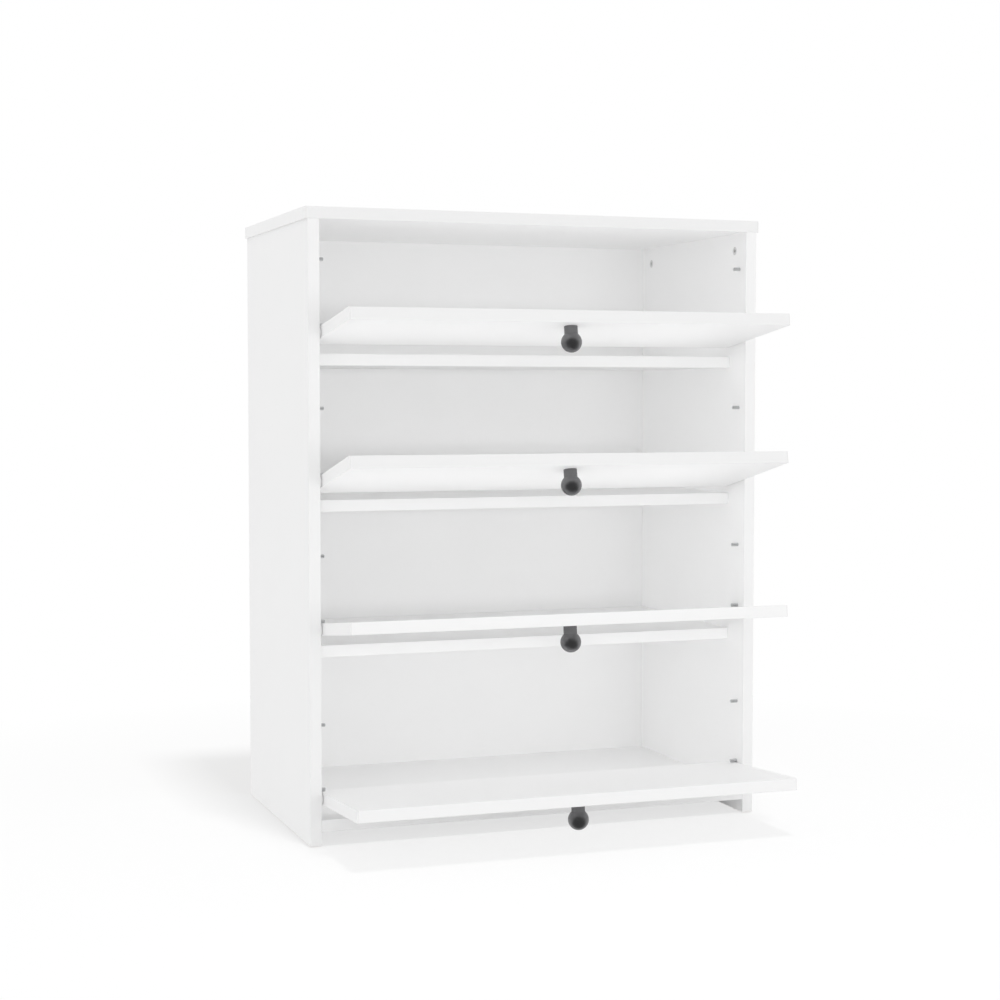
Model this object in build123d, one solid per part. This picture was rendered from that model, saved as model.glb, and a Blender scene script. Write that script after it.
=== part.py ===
from build123d import *
from math import cos, hypot, radians, sin, sqrt, tan
import os

# Shoe cabinet with four drop-down flaps, in millimetres. +Z is up and the front faces -Y.
# The origin is on the floor, under the middle of the box round the cabinet with its flaps open.

# Carcass of melamine-faced board
BOARD = 16.0             # thickness of every board: sides, top, bottom, shelves and flaps
CARCASS_WIDTH = 650.0    # over the outer faces of the sides
SIDE_DEPTH = 360.0       # front edge to rear edge of a side
TOP_OVERHANG = 3.0       # top past the outer face of each side
EDGE_ROUND = 1.0         # rounding of the banded edges that show
GLIDE_HEIGHT = 2.0       # lift of the sides off the floor
FLOOR_GAP = 20.0         # floor to the underside of the bottom panel
BOTTOM_CLEAR = 209.0     # clear heights of the four compartments, from the lowest up
LOWER_CLEAR = 179.5
UPPER_CLEAR = 179.5
TOP_CLEAR = 174.0

# Back panel of hardboard in a rebate
BACK_THICKNESS = 3.0
REBATE_DEPTH = 5.0       # from the rear edge of the sides to the inner face of the back panel
REBATE_WIDTH = 8.0       # cut into the thickness of the sides and the top
BACK_PLAY = 0.5          # round the back panel's edges in the rebate

# Flaps, tilted up from level by these angles where they rest open on their stops
TOP_TILT = 7.9
UPPER_TILT = 12.1
LOWER_TILT = 6.8
BOTTOM_TILT = 3.5
FLAP_GAP = 2.5           # between closed flaps, and above and below the outer two
END_GAP = 2.5            # between the end of a flap and a side
PIVOT_HEIGHT = 27.0      # pivot axis above the floor of its compartment
FLAP_DROP = 21.5         # closed flap's lower edge below the top of its shelf
SWING_GAP = 1.6          # between the swinging lower edge of a flap and the shelf's front edge

# Pivot pins and the bushes that they turn in
PIN_DIA = 6.0
PIN_IN_FLAP = 22.0
PIN_IN_BUSH = 7.5
RUNNING_FIT = 0.05       # radial, pin in bush
SEAT_FIT = 0.02          # radial, round everything that is pressed or screwed in
BUSH_DIA = 10.0
BUSH_DEPTH = 10.0        # let into the side
BUSH_WALL = 1.5          # closed end of the bush
FLANGE_DIA = 15.0
FLANGE_PLAY = 0.5        # between the bush's flange and the end of the flap

# Stop pins in the sides
STOP_DIA = 5.0
STOP_OUT = 10.0          # stands out of the side
STOP_IN = 10.0           # let into the side
STOP_GAP = 0.3           # left between a flap and the pin that it rests on
UPRIGHT_GAP = 1.5        # between an upright flap and its pins, taken up as it leans back shut
SHUT_STOP_HEIGHT = 123.0 # upper stop above the floor of its compartment

# Ball knobs
KNOB_BALL = 27.5
KNOB_NECK = 17.8
KNOB_LENGTH = 35.0
KNOB_BLEND = 2.5         # hollow between the neck and the ball
KNOB_INSET = 29.0        # knob axis to the free edge of the flap
STUD_DIA = 4.0
STUD_IN_KNOB = 14.0
STUD_IN_FLAP = 11.0

# Cam locks and bolts at the corners of the carcass
CAM_DIA = 12.0
CAM_SETBACK = 24.0       # cam axis to the joint that it pulls tight
CAM_FLOOR = 4.5          # cam beyond the bolt's axis
CAM_INSET = 36.0         # bolt to the front edge and to the rear edge of the side
CROSS_LENGTH = 6.5       # cross recess for the screwdriver
CROSS_WIDTH = 1.4
CROSS_DEPTH = 2.5
BOLT_DIA = 7.0
BOLT_THREAD_DIA = 5.0
BOLT_THREAD = 11.0
BOLT_PLAY = 0.5          # radial, bolt in its channel

# Fluted dowels between the shelves and the sides
DOWEL_DIA = 8.0
DOWEL_FLUTES = 10
DOWEL_IN_SIDE = 10.0
DOWEL_IN_SHELF = 20.0
DOWEL_INSET = 37.0       # dowel to the front edge and to the rear edge of the shelf
DOWEL_END_PLAY = 0.5

# Glides nailed under the sides
GLIDE_DIA = 14.0
GLIDE_INSET = 30.0       # glide to the front edge and to the rear edge of the side

# Levels of the compartment floors and of the flaps when shut
INNER_X = CARCASS_WIDTH / 2 - BOARD
OUTER_X = CARCASS_WIDTH / 2
BOTTOM_TOP = FLOOR_GAP + BOARD
LOWER_SHELF_TOP = BOTTOM_TOP + BOTTOM_CLEAR + BOARD
MIDDLE_SHELF_TOP = LOWER_SHELF_TOP + LOWER_CLEAR + BOARD
UPPER_SHELF_TOP = MIDDLE_SHELF_TOP + UPPER_CLEAR + BOARD
TOP_UNDERSIDE = UPPER_SHELF_TOP + TOP_CLEAR


def under_shelf_edge(shelf_top):
    """Height of a shut flap's upper edge below the flap that hangs in front of this shelf."""
    return shelf_top - FLAP_DROP - FLAP_GAP


# For each flap: compartment floor, lower and upper edge when shut, tilt when open
FLAPS = {
    "top": (UPPER_SHELF_TOP, UPPER_SHELF_TOP - FLAP_DROP, TOP_UNDERSIDE - FLAP_GAP, TOP_TILT),
    "upper": (MIDDLE_SHELF_TOP, MIDDLE_SHELF_TOP - FLAP_DROP, under_shelf_edge(UPPER_SHELF_TOP), UPPER_TILT),
    "lower": (LOWER_SHELF_TOP, LOWER_SHELF_TOP - FLAP_DROP, under_shelf_edge(MIDDLE_SHELF_TOP), LOWER_TILT),
    "bottom": (BOTTOM_TOP, BOTTOM_TOP + FLAP_GAP, under_shelf_edge(LOWER_SHELF_TOP), BOTTOM_TILT),
}

# Depths from the front edge of the sides. The shelves stand back by the swing of the flap's lower edge.
PIVOT_SETBACK = BOARD / 2
SWING_RADIUS = hypot(PIVOT_HEIGHT + FLAP_DROP, BOARD / 2)
SHELF_SETBACK = PIVOT_SETBACK + sqrt((SWING_RADIUS + SWING_GAP) ** 2 - PIVOT_HEIGHT ** 2)
BACK_SETBACK = SIDE_DEPTH - REBATE_DEPTH
STOP_BEHIND = BOARD / 2 + UPRIGHT_GAP + STOP_DIA / 2


def open_reach(flap):
    """How far an open flap stands out in front of the sides, to its rounded outer corner."""
    floor, _, upper, tilt = FLAPS[flap]
    length = upper - floor - PIVOT_HEIGHT - EDGE_ROUND
    half = BOARD / 2 - EDGE_ROUND
    angle = radians(tilt)
    return length * cos(angle) + half * sin(angle) + EDGE_ROUND - PIVOT_SETBACK


# The front edge of the sides, with the box's middle at Y = 0
FRONT_Y = (max(open_reach(flap) for flap in FLAPS) - SIDE_DEPTH) / 2
REAR_Y = FRONT_Y + SIDE_DEPTH
PIVOT_Y = FRONT_Y + PIVOT_SETBACK
STOP_Y = PIVOT_Y + STOP_BEHIND
BACK_Y = FRONT_Y + BACK_SETBACK
SHELF_Y = FRONT_Y + SHELF_SETBACK


def pivot_z(flap):
    """Height of a flap's pivot axis."""
    return FLAPS[flap][0] + PIVOT_HEIGHT


def open_stop_z(flap):
    """Height of the low stop: it lies on the tilted flap's inner face, behind the pivot."""
    angle = radians(FLAPS[flap][3])
    reach = BOARD / 2 + STOP_GAP + STOP_DIA / 2
    return pivot_z(flap) + reach / cos(angle) - STOP_BEHIND * tan(angle)


def shut_stop_z(flap):
    """Height of the high stop, against which the shut flap leans."""
    return FLAPS[flap][0] + SHUT_STOP_HEIGHT


def block(x0, x1, y0, y1, z0, z1):
    """A box between two corners."""
    middle = Pos((x0 + x1) / 2, (y0 + y1) / 2, (z0 + z1) / 2)
    return middle * Box(x1 - x0, y1 - y0, z1 - z0)


def rod_x(x0, x1, y, z, diameter):
    """A round bar along X."""
    return Pos((x0 + x1) / 2, y, z) * Rot(0, 90, 0) * Cylinder(diameter / 2, abs(x1 - x0))


def rod_z(x, y, z0, z1, diameter):
    """A round bar along Z."""
    return Pos(x, y, (z0 + z1) / 2) * Cylinder(diameter / 2, z1 - z0)


def both_sides(right_hand):
    """Right-hand pieces and their mirror images on the left."""
    return right_hand + [mirror(piece, about=Plane.YZ) for piece in right_hand]


def ease(panel, axis, keep):
    """Round the edges along one axis that the rule keeps."""
    edges = [edge for edge in panel.edges().filter_by(axis) if keep(edge.center())]
    return fillet(edges, EDGE_ROUND)


# Where the fittings sit along the depth and under the sides
CAM_YS = (FRONT_Y + CAM_INSET, REAR_Y - CAM_INSET)
DOWEL_YS = (SHELF_Y + DOWEL_INSET, BACK_Y - DOWEL_INSET)
GLIDE_YS = (FRONT_Y + GLIDE_INSET, REAR_Y - GLIDE_INSET)
CAM_DEPTH = BOARD / 2 + CAM_FLOOR
BOTTOM_MIDDLE = BOTTOM_TOP - BOARD / 2
SHELF_TOPS = {
    "upper_shelf": UPPER_SHELF_TOP,
    "middle_shelf": MIDDLE_SHELF_TOP,
    "lower_shelf": LOWER_SHELF_TOP,
}


def side_panel():
    """Right side: bored for bushes, stops, bolts and dowels, and rebated for the back panel."""
    panel = block(INNER_X, OUTER_X, FRONT_Y, REAR_Y, GLIDE_HEIGHT, TOP_UNDERSIDE)
    panel = ease(panel, Axis.Z, lambda point: point.Y < 0)
    panel -= block(INNER_X, INNER_X + REBATE_WIDTH, BACK_Y, REAR_Y, GLIDE_HEIGHT, TOP_UNDERSIDE)
    for flap in FLAPS:
        panel -= rod_x(INNER_X, INNER_X + BUSH_DEPTH, PIVOT_Y, pivot_z(flap), BUSH_DIA + 2 * SEAT_FIT)
        for z in (open_stop_z(flap), shut_stop_z(flap)):
            panel -= rod_x(INNER_X, INNER_X + STOP_IN, STOP_Y, z, STOP_DIA + 2 * SEAT_FIT)
    cam_z = TOP_UNDERSIDE - CAM_SETBACK
    for y in CAM_YS:
        panel -= rod_x(INNER_X, INNER_X + CAM_DEPTH, y, cam_z, CAM_DIA + 2 * SEAT_FIT)
        panel -= rod_z(INNER_X + BOARD / 2, y, cam_z, TOP_UNDERSIDE, BOLT_DIA + 2 * BOLT_PLAY)
        panel -= rod_x(INNER_X, INNER_X + BOLT_THREAD, y, BOTTOM_MIDDLE, BOLT_THREAD_DIA + 2 * SEAT_FIT)
    for shelf_top in SHELF_TOPS.values():
        for y in DOWEL_YS:
            end = INNER_X + DOWEL_IN_SIDE + DOWEL_END_PLAY
            panel -= rod_x(INNER_X, end, y, shelf_top - BOARD / 2, DOWEL_DIA + 2 * SEAT_FIT)
    return panel


def top_panel():
    """Top: lies on the sides, rounded where it shows, with bolt holes underneath."""
    half = OUTER_X + TOP_OVERHANG
    upper = TOP_UNDERSIDE + BOARD
    panel = block(-half, half, FRONT_Y, REAR_Y, TOP_UNDERSIDE, upper)
    panel = ease(panel, Axis.X, lambda point: point.Y < 0)
    rebate = INNER_X + REBATE_WIDTH
    panel -= block(-rebate, rebate, BACK_Y, REAR_Y, TOP_UNDERSIDE, TOP_UNDERSIDE + REBATE_WIDTH)
    for x in (INNER_X + BOARD / 2, -INNER_X - BOARD / 2):
        for y in CAM_YS:
            end = TOP_UNDERSIDE + BOLT_THREAD
            panel -= rod_z(x, y, TOP_UNDERSIDE, end, BOLT_THREAD_DIA + 2 * SEAT_FIT)
    return panel


def bottom_panel():
    """Bottom: flush with the front, with cam pockets in its underside and bolt channels in its ends."""
    panel = block(-INNER_X, INNER_X, FRONT_Y, BACK_Y, FLOOR_GAP, BOTTOM_TOP)
    panel = ease(panel, Axis.X, lambda point: point.Y < 0)
    cuts = []
    for y in CAM_YS:
        x = INNER_X - CAM_SETBACK
        cuts.append(rod_z(x, y, FLOOR_GAP, FLOOR_GAP + CAM_DEPTH, CAM_DIA + 2 * SEAT_FIT))
        cuts.append(rod_x(x, INNER_X, y, BOTTOM_MIDDLE, BOLT_DIA + 2 * BOLT_PLAY))
    return panel - both_sides(cuts)


def shelf(shelf_top):
    """Shelf: set back behind the flap's swing, with dowel holes in its ends."""
    panel = block(-INNER_X, INNER_X, SHELF_Y, BACK_Y, shelf_top - BOARD, shelf_top)
    panel = ease(panel, Axis.X, lambda point: point.Y < BACK_Y - BOARD)
    start = INNER_X - DOWEL_IN_SHELF - DOWEL_END_PLAY
    holes = [
        rod_x(start, INNER_X, y, shelf_top - BOARD / 2, DOWEL_DIA + 2 * SEAT_FIT) for y in DOWEL_YS
    ]
    return panel - both_sides(holes)


def back_panel():
    """Thin back in the rebate, from the underside of the bottom panel up into the top."""
    half = INNER_X + REBATE_WIDTH - BACK_PLAY
    upper = TOP_UNDERSIDE + REBATE_WIDTH - BACK_PLAY
    return block(-half, half, BACK_Y, BACK_Y + BACK_THICKNESS, FLOOR_GAP, upper)


def cam_lock():
    """Cam disc: its face at Z = 0 with a cross recess, and a socket for the bolt towards +Y."""
    cam = Pos(0, 0, -CAM_DEPTH / 2) * Cylinder(CAM_DIA / 2, CAM_DEPTH)
    cross = Box(CROSS_LENGTH, CROSS_WIDTH, 2 * CROSS_DEPTH) + Box(CROSS_WIDTH, CROSS_LENGTH, 2 * CROSS_DEPTH)
    socket = Pos(0, CAM_DIA / 2, -BOARD / 2) * Rot(90, 0, 0) * Cylinder(BOLT_DIA / 2 + BOLT_PLAY, CAM_DIA)
    return cam - cross - socket


def cam_bolt():
    """Cam bolt along Z: its thread below Z = 0 and its shank up to the cam's axis."""
    thread = Pos(0, 0, -BOLT_THREAD / 2) * Cylinder(BOLT_THREAD_DIA / 2, BOLT_THREAD)
    shank = Pos(0, 0, CAM_SETBACK / 2) * Cylinder(BOLT_DIA / 2, CAM_SETBACK)
    return thread + shank


def shelf_dowels(shelf_top):
    """Fluted dowels, half in the shelf's ends and half in the sides."""
    length = DOWEL_IN_SIDE + DOWEL_IN_SHELF
    profile = RegularPolygon(DOWEL_DIA / 2, DOWEL_FLUTES)
    dowel = extrude(Rot(0, 90, 0) * profile, length)
    start = INNER_X - DOWEL_IN_SHELF
    return both_sides([Pos(start, y, shelf_top - BOARD / 2) * dowel for y in DOWEL_YS])


def bush(flap):
    """Nylon bush let into the right side, with a flange that spaces the flap."""
    flange = END_GAP - FLANGE_PLAY
    z = pivot_z(flap)
    body = rod_x(INNER_X, INNER_X + BUSH_DEPTH, PIVOT_Y, z, BUSH_DIA)
    body += rod_x(INNER_X - flange, INNER_X, PIVOT_Y, z, FLANGE_DIA)
    bore_end = INNER_X + BUSH_DEPTH - BUSH_WALL
    return body - rod_x(INNER_X - flange, bore_end, PIVOT_Y, z, PIN_DIA + 2 * RUNNING_FIT)


def stop_pin(z):
    """Steel stop pin let into the right side."""
    return rod_x(INNER_X - STOP_OUT, INNER_X + STOP_IN, STOP_Y, z, STOP_DIA)


def glide(y):
    """Glide under the right side."""
    return rod_z(INNER_X + BOARD / 2, y, 0, GLIDE_HEIGHT, GLIDE_DIA)


# Each flap is made upright about its pivot axis at the origin, its outer face towards -Y.
FLAP_END = INNER_X - END_GAP


def flap_panel(flap):
    """Flap board with its edges rounded, bored for the pivot pins and the knob's stud."""
    floor, lower, upper, _ = FLAPS[flap]
    pivot = floor + PIVOT_HEIGHT
    panel = block(-FLAP_END, FLAP_END, -BOARD / 2, BOARD / 2, lower - pivot, upper - pivot)
    panel = ease(panel, Axis.X, lambda point: True)
    pin_hole = rod_x(FLAP_END - PIN_IN_FLAP, FLAP_END, 0, 0, PIN_DIA + 2 * SEAT_FIT)
    stud_hole = Cylinder(STUD_DIA / 2 + SEAT_FIT, 2 * STUD_IN_FLAP)
    return panel - both_sides([pin_hole]) - knob_seat(flap) * stud_hole


def knob_seat(flap):
    """Place on the flap's outer face where the knob stands, with +Z out of the face."""
    floor, _, upper, _ = FLAPS[flap]
    return Pos(0, -BOARD / 2, upper - floor - PIVOT_HEIGHT - KNOB_INSET) * Rot(90, 0, 0)


def knob():
    """Turned ball knob standing on Z = 0: neck, hollow blend and ball in one outline, bored for its stud."""
    ball = KNOB_BALL / 2
    neck = KNOB_NECK / 2
    middle = KNOB_LENGTH - ball
    rise = sqrt((ball + KNOB_BLEND) ** 2 - (neck + KNOB_BLEND) ** 2)
    share = ball / (ball + KNOB_BLEND)
    neck_end = (neck, middle - rise)
    ball_start = ((neck + KNOB_BLEND) * share, middle - rise * share)
    outline = [
        Line((0, 0), (neck, 0)),
        Line((neck, 0), neck_end),
        TangentArc(neck_end, ball_start, tangent=(0, 1)),
        ThreePointArc(ball_start, (ball, middle), (0, KNOB_LENGTH)),
        Line((0, KNOB_LENGTH), (0, 0)),
    ]
    turned = revolve(Plane.XZ * make_face(outline), Axis.Z)
    return turned - Cylinder(STUD_DIA / 2 + SEAT_FIT, 2 * STUD_IN_KNOB)


def stud():
    """Threaded stud, part in the knob above Z = 0 and part in the flap below."""
    return Pos(0, 0, (STUD_IN_KNOB - STUD_IN_FLAP) / 2) * Cylinder(STUD_DIA / 2, STUD_IN_KNOB + STUD_IN_FLAP)


def pivot_pins():
    """A steel pin in each end of a flap."""
    return both_sides([rod_x(FLAP_END - PIN_IN_FLAP, INNER_X + PIN_IN_BUSH, 0, 0, PIN_DIA)])


nodes = {}
right_side = side_panel()
nodes["right_side_panel"] = right_side
nodes["left_side_panel"] = mirror(right_side, about=Plane.YZ)
nodes["top_panel"] = top_panel()
nodes["bottom_panel"] = bottom_panel()
for name, shelf_top in SHELF_TOPS.items():
    nodes[name] = shelf(shelf_top)
    nodes[name + "_dowels"] = shelf_dowels(shelf_top)
nodes["back_panel"] = back_panel()

# Top cams face inwards from the sides, under bolts that hang from the top. Bottom cams face the floor.
top_cam_plane = Plane((INNER_X, 0, TOP_UNDERSIDE - CAM_SETBACK), x_dir=(0, -1, 0), z_dir=(-1, 0, 0))
bottom_cam_plane = Plane((INNER_X - CAM_SETBACK, 0, FLOOR_GAP), x_dir=(0, 1, 0), z_dir=(0, 0, -1))
top_cam = top_cam_plane * cam_lock()
top_bolt = Pos(INNER_X + BOARD / 2, 0, TOP_UNDERSIDE) * Rot(180, 0, 0) * cam_bolt()
bottom_cam = bottom_cam_plane * cam_lock()
bottom_bolt = Pos(INNER_X, 0, BOTTOM_MIDDLE) * Rot(0, -90, 0) * cam_bolt()
fittings = {
    "top_cam_locks": top_cam,
    "top_cam_bolts": top_bolt,
    "bottom_cam_locks": bottom_cam,
    "bottom_cam_bolts": bottom_bolt,
}
for name, fitting in fittings.items():
    nodes[name] = both_sides([Pos(0, y, 0) * fitting for y in CAM_YS])

side_hardware = {
    "pivot_bushes": [bush(flap) for flap in FLAPS],
    "opening_stops": [stop_pin(open_stop_z(flap)) for flap in FLAPS],
    "closing_stops": [stop_pin(shut_stop_z(flap)) for flap in FLAPS],
    "floor_glides": [glide(y) for y in GLIDE_YS],
}
for name, pieces in side_hardware.items():
    nodes["right_" + name] = pieces
    nodes["left_" + name] = [mirror(piece, about=Plane.YZ) for piece in pieces]

for flap, (_, _, _, tilt) in FLAPS.items():
    open_place = Pos(0, PIVOT_Y, pivot_z(flap)) * Rot(90 - tilt, 0, 0)
    knob_place = open_place * knob_seat(flap)
    nodes[flap + "_flap"] = open_place * flap_panel(flap)
    nodes[flap + "_pivot_pins"] = [open_place * pin for pin in pivot_pins()]
    nodes[flap + "_knob"] = knob_place * knob()
    nodes[flap + "_knob_stud"] = knob_place * stud()

os.makedirs("parts", exist_ok=True)
for name, shape in nodes.items():
    solids = shape if isinstance(shape, list) else [shape]
    export_step(Compound([solid for piece in solids for solid in piece.solids()]), f"parts/{name}.step")
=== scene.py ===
from math import asin, cos, pi, radians, sin, sqrt

import bmesh
import bpy
from mathutils import Matrix, Vector


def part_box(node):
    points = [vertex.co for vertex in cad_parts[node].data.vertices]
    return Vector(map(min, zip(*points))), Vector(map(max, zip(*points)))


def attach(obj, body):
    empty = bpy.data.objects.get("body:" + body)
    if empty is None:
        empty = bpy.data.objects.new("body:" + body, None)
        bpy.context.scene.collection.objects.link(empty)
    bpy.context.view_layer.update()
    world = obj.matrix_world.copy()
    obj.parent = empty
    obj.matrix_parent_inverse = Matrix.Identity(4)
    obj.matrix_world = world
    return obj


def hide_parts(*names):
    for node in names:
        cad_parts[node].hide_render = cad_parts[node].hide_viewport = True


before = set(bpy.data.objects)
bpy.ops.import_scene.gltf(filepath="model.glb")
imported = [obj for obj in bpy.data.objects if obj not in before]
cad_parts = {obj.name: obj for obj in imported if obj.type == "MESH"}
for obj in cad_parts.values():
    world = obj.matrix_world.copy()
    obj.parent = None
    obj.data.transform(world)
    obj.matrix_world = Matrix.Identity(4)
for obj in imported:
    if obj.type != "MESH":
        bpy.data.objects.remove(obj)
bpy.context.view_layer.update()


# Carcass boards: two sides, a bottom and three shelves of 16 mm particle board, faced with white melamine
# paper. A strip of ABS is glued to each front edge, and the rear edges and the feet are left as sawn.
# The sides stand on glides, and dowels and cam bolts hold the other boards between them.
MM = 0.001
STRIP = 1.3 * MM         # ABS strip with its rounded corner
GLUE_LINE = 0.25 * MM    # hairline between the strip and the board's face
PEARL = 1.6 * MM         # pressed pearl texture, really about 0.5 mm, drawn coarser so that it shows
PEARL_DEPTH = 0.02 * MM
PEARL_STRENGTH = 0.3
PAPER_CLOUD = 90 * MM    # faint unevenness of the paper
CHIP = 2.2 * MM          # chips in a sawn edge
SQUARE_ON = 0.9          # cosine above which a face counts as looking in a direction
MELAMINE_WHITE = "#f8f8f8"
MELAMINE_CLOUD = "#f6f6f6"
MELAMINE_SMOOTH = 0.38   # least and greatest roughness
MELAMINE_ROUGH = 0.5
MELAMINE_IOR = 1.5
GLUE_GREY = "#d9d8d6"
CHIP_PALE = "#d9bf92"
CHIP_BROWN = "#9a7548"


def linear(colour):
    """An sRGB hex colour as linear RGBA."""
    parts = [int(colour[i:i + 2], 16) / 255 for i in (1, 3, 5)]
    return [c / 12.92 if c <= 0.04045 else ((c + 0.055) / 1.055) ** 2.4 for c in parts] + [1]


def add(tree, kind, inputs=None, **settings):
    """Adds a node with its settings; inputs holds values, or outputs of other nodes to link."""
    node = tree.nodes.new("ShaderNode" + kind)
    for name, value in settings.items():
        setattr(node, name, value)
    for socket, value in (inputs or {}).items():
        if isinstance(value, bpy.types.NodeSocket):
            tree.links.new(value, node.inputs[socket])
        else:
            node.inputs[socket].default_value = value
    return node


def new_material(name):
    """A material with its node tree and its Principled shader."""
    material = bpy.data.materials.new(name)
    material.use_nodes = True
    return material, material.node_tree, material.node_tree.nodes["Principled BSDF"]


def dress(node, material):
    """Gives a CAD node its finish."""
    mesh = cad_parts[node].data
    mesh.materials.clear()
    mesh.materials.append(material)


def face_with_melamine(node, strips, sawn=(), half=None, tilt=0.0):
    """White melamine: a satin sheet pressed with a fine pearl, which spreads its reflections softly.
    strips lists the axes and ends with an edge strip, sawn the faces of bare board, and half and tilt
    the sizes and the slope of a board that doesn't lie square."""
    low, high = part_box(node)
    middle = (low + high) / 2
    half = half or (high - low) / 2
    material, tree, shader = new_material("white_melamine_" + node)
    coords = add(tree, "TexCoord")
    shifted = add(tree, "VectorMath", {0: coords.outputs["Object"], 1: middle}, operation="SUBTRACT")
    own = add(tree, "VectorRotate", {"Vector": shifted.outputs[0], "Angle": tilt}, rotation_type="X_AXIS")
    place = add(tree, "SeparateXYZ", {0: own.outputs[0]})

    cloud = add(tree, "TexNoise", {"Vector": own.outputs[0], "Scale": 1 / PAPER_CLOUD, "Detail": 3})
    paper = add(tree, "Mix", {"Factor": cloud.outputs["Fac"], "A": linear(MELAMINE_WHITE),
                              "B": linear(MELAMINE_CLOUD)}, data_type="RGBA")
    colour = paper.outputs["Result"]
    for axis, ends in strips:
        distance = place.outputs[axis]
        line_place = STRIP - half["XYZ".index(axis)]
        if ends == "both":
            distance = add(tree, "Math", {0: distance}, operation="ABSOLUTE").outputs[0]
            line_place = -line_place
        line = add(tree, "Math", {0: distance, 1: line_place, 2: GLUE_LINE / 2}, operation="COMPARE")
        colour = add(tree, "Mix", {"Factor": line.outputs[0], "A": colour, "B": linear(GLUE_GREY)},
                     data_type="RGBA").outputs["Result"]
    for direction in sawn:
        facing = add(tree, "VectorMath", {0: coords.outputs["Normal"], 1: direction},
                     operation="DOT_PRODUCT")
        bare = add(tree, "Math", {0: facing.outputs["Value"], 1: SQUARE_ON}, operation="GREATER_THAN")
        chips = add(tree, "TexVoronoi", {"Vector": own.outputs[0], "Scale": 1 / CHIP})
        tone = add(tree, "SeparateColor", {0: chips.outputs["Color"]})
        wood = add(tree, "Mix", {"Factor": tone.outputs[0], "A": linear(CHIP_PALE),
                                 "B": linear(CHIP_BROWN)}, data_type="RGBA")
        colour = add(tree, "Mix", {"Factor": bare.outputs[0], "A": colour, "B": wood.outputs["Result"]},
                     data_type="RGBA").outputs["Result"]
    tree.links.new(colour, shader.inputs["Base Color"])

    pearl = add(tree, "TexNoise", {"Vector": own.outputs[0], "Scale": 1 / PEARL, "Detail": 1})
    gloss = add(tree, "MapRange", {"Value": pearl.outputs["Fac"], "To Min": MELAMINE_SMOOTH,
                                   "To Max": MELAMINE_ROUGH})
    tree.links.new(gloss.outputs[0], shader.inputs["Roughness"])
    bump = add(tree, "Bump", {"Height": pearl.outputs["Fac"], "Strength": PEARL_STRENGTH,
                              "Distance": PEARL_DEPTH})
    tree.links.new(bump.outputs[0], shader.inputs["Normal"])
    shader.inputs["IOR"].default_value = MELAMINE_IOR
    dress(node, material)


for node in ("left_side_panel", "right_side_panel"):
    face_with_melamine(node, [("Y", "front")], sawn=[(0, 1, 0), (0, 0, -1)])
for node in ("bottom_panel", "lower_shelf", "middle_shelf", "upper_shelf"):
    face_with_melamine(node, [("Y", "front")])


# Dowels: beech pegs, 8 mm thick and fluted so that glue can pass, with chamfered ends.
# Two in each end of a shelf are tapped into the sides.
DOWEL_RADIUS = 3.95 * MM
DOWEL_CHAMFER = 1.0 * MM
FLUTES = 16
FLUTE_DEPTH = 0.4 * MM
GRAIN_WIDTH = 0.7 * MM
GRAIN_LENGTH = 25 * MM
BEECH_PALE = "#dfba8c"
BEECH_BROWN = "#bd9262"
BEECH_ROUGH = 0.65
WELD = 0.001 * MM        # corners closer than this are one


def solids(node):
    """The box of each separate solid in a CAD node, as its lowest and highest corner."""
    shape = bmesh.new()
    shape.from_mesh(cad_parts[node].data)
    bmesh.ops.remove_doubles(shape, verts=shape.verts, dist=WELD)
    boxes, seen = [], set()
    for first in shape.verts:
        if first in seen:
            continue
        seen.add(first)
        group = [first]
        for vertex in group:
            for edge in vertex.link_edges:
                other = edge.other_vert(vertex)
                if other not in seen:
                    seen.add(other)
                    group.append(other)
        boxes.append((Vector([min(v.co[i] for v in group) for i in range(3)]),
                      Vector([max(v.co[i] for v in group) for i in range(3)])))
    shape.free()
    return boxes


def stand(place, out):
    """The matrix that stands a turned piece on a place, its axis along out."""
    return Matrix.Translation(place) @ Vector(out).to_track_quat("Z", "Y").to_matrix().to_4x4()


def turn(shape, outline, matrix, steps=32, cut=None):
    """Adds a turned piece to a bmesh. outline lists (height, radius) from axis to axis, and
    cut(height, angle) is what flutes or a thread take off the radius."""
    rings = []
    for height, radius in outline:
        ring = []
        for i in range(steps if radius else 1):
            angle = 2 * pi * i / steps
            r = radius - cut(height, angle) if cut and radius else radius
            ring.append(shape.verts.new(matrix @ Vector((r * cos(angle), r * sin(angle), height))))
        rings.append(ring)
    for lower, upper in zip(rings, rings[1:]):
        for i in range(steps):
            j = (i + 1) % steps
            corners = [lower[i % len(lower)], lower[j % len(lower)]]
            corners += [upper[j % len(upper)], upper[i % len(upper)]]
            shape.faces.new(list(dict.fromkeys(corners)))


def finish_piece(name, shape, material, body, slot, *replaced, crease=40):
    """Turns a bmesh into a piece with its material, smooth except at creases, on its CAD body."""
    bmesh.ops.recalc_face_normals(shape, faces=shape.faces)
    for face in shape.faces:
        face.smooth = True
    mesh = bpy.data.meshes.new(name)
    shape.to_mesh(mesh)
    shape.free()
    mesh.set_sharp_from_angle(angle=radians(crease))
    mesh.materials.append(material)
    piece = bpy.data.objects.new(name, mesh)
    bpy.context.scene.collection.objects.link(piece)
    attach(piece, body)
    if replaced:
        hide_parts(*replaced)
    return piece


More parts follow.
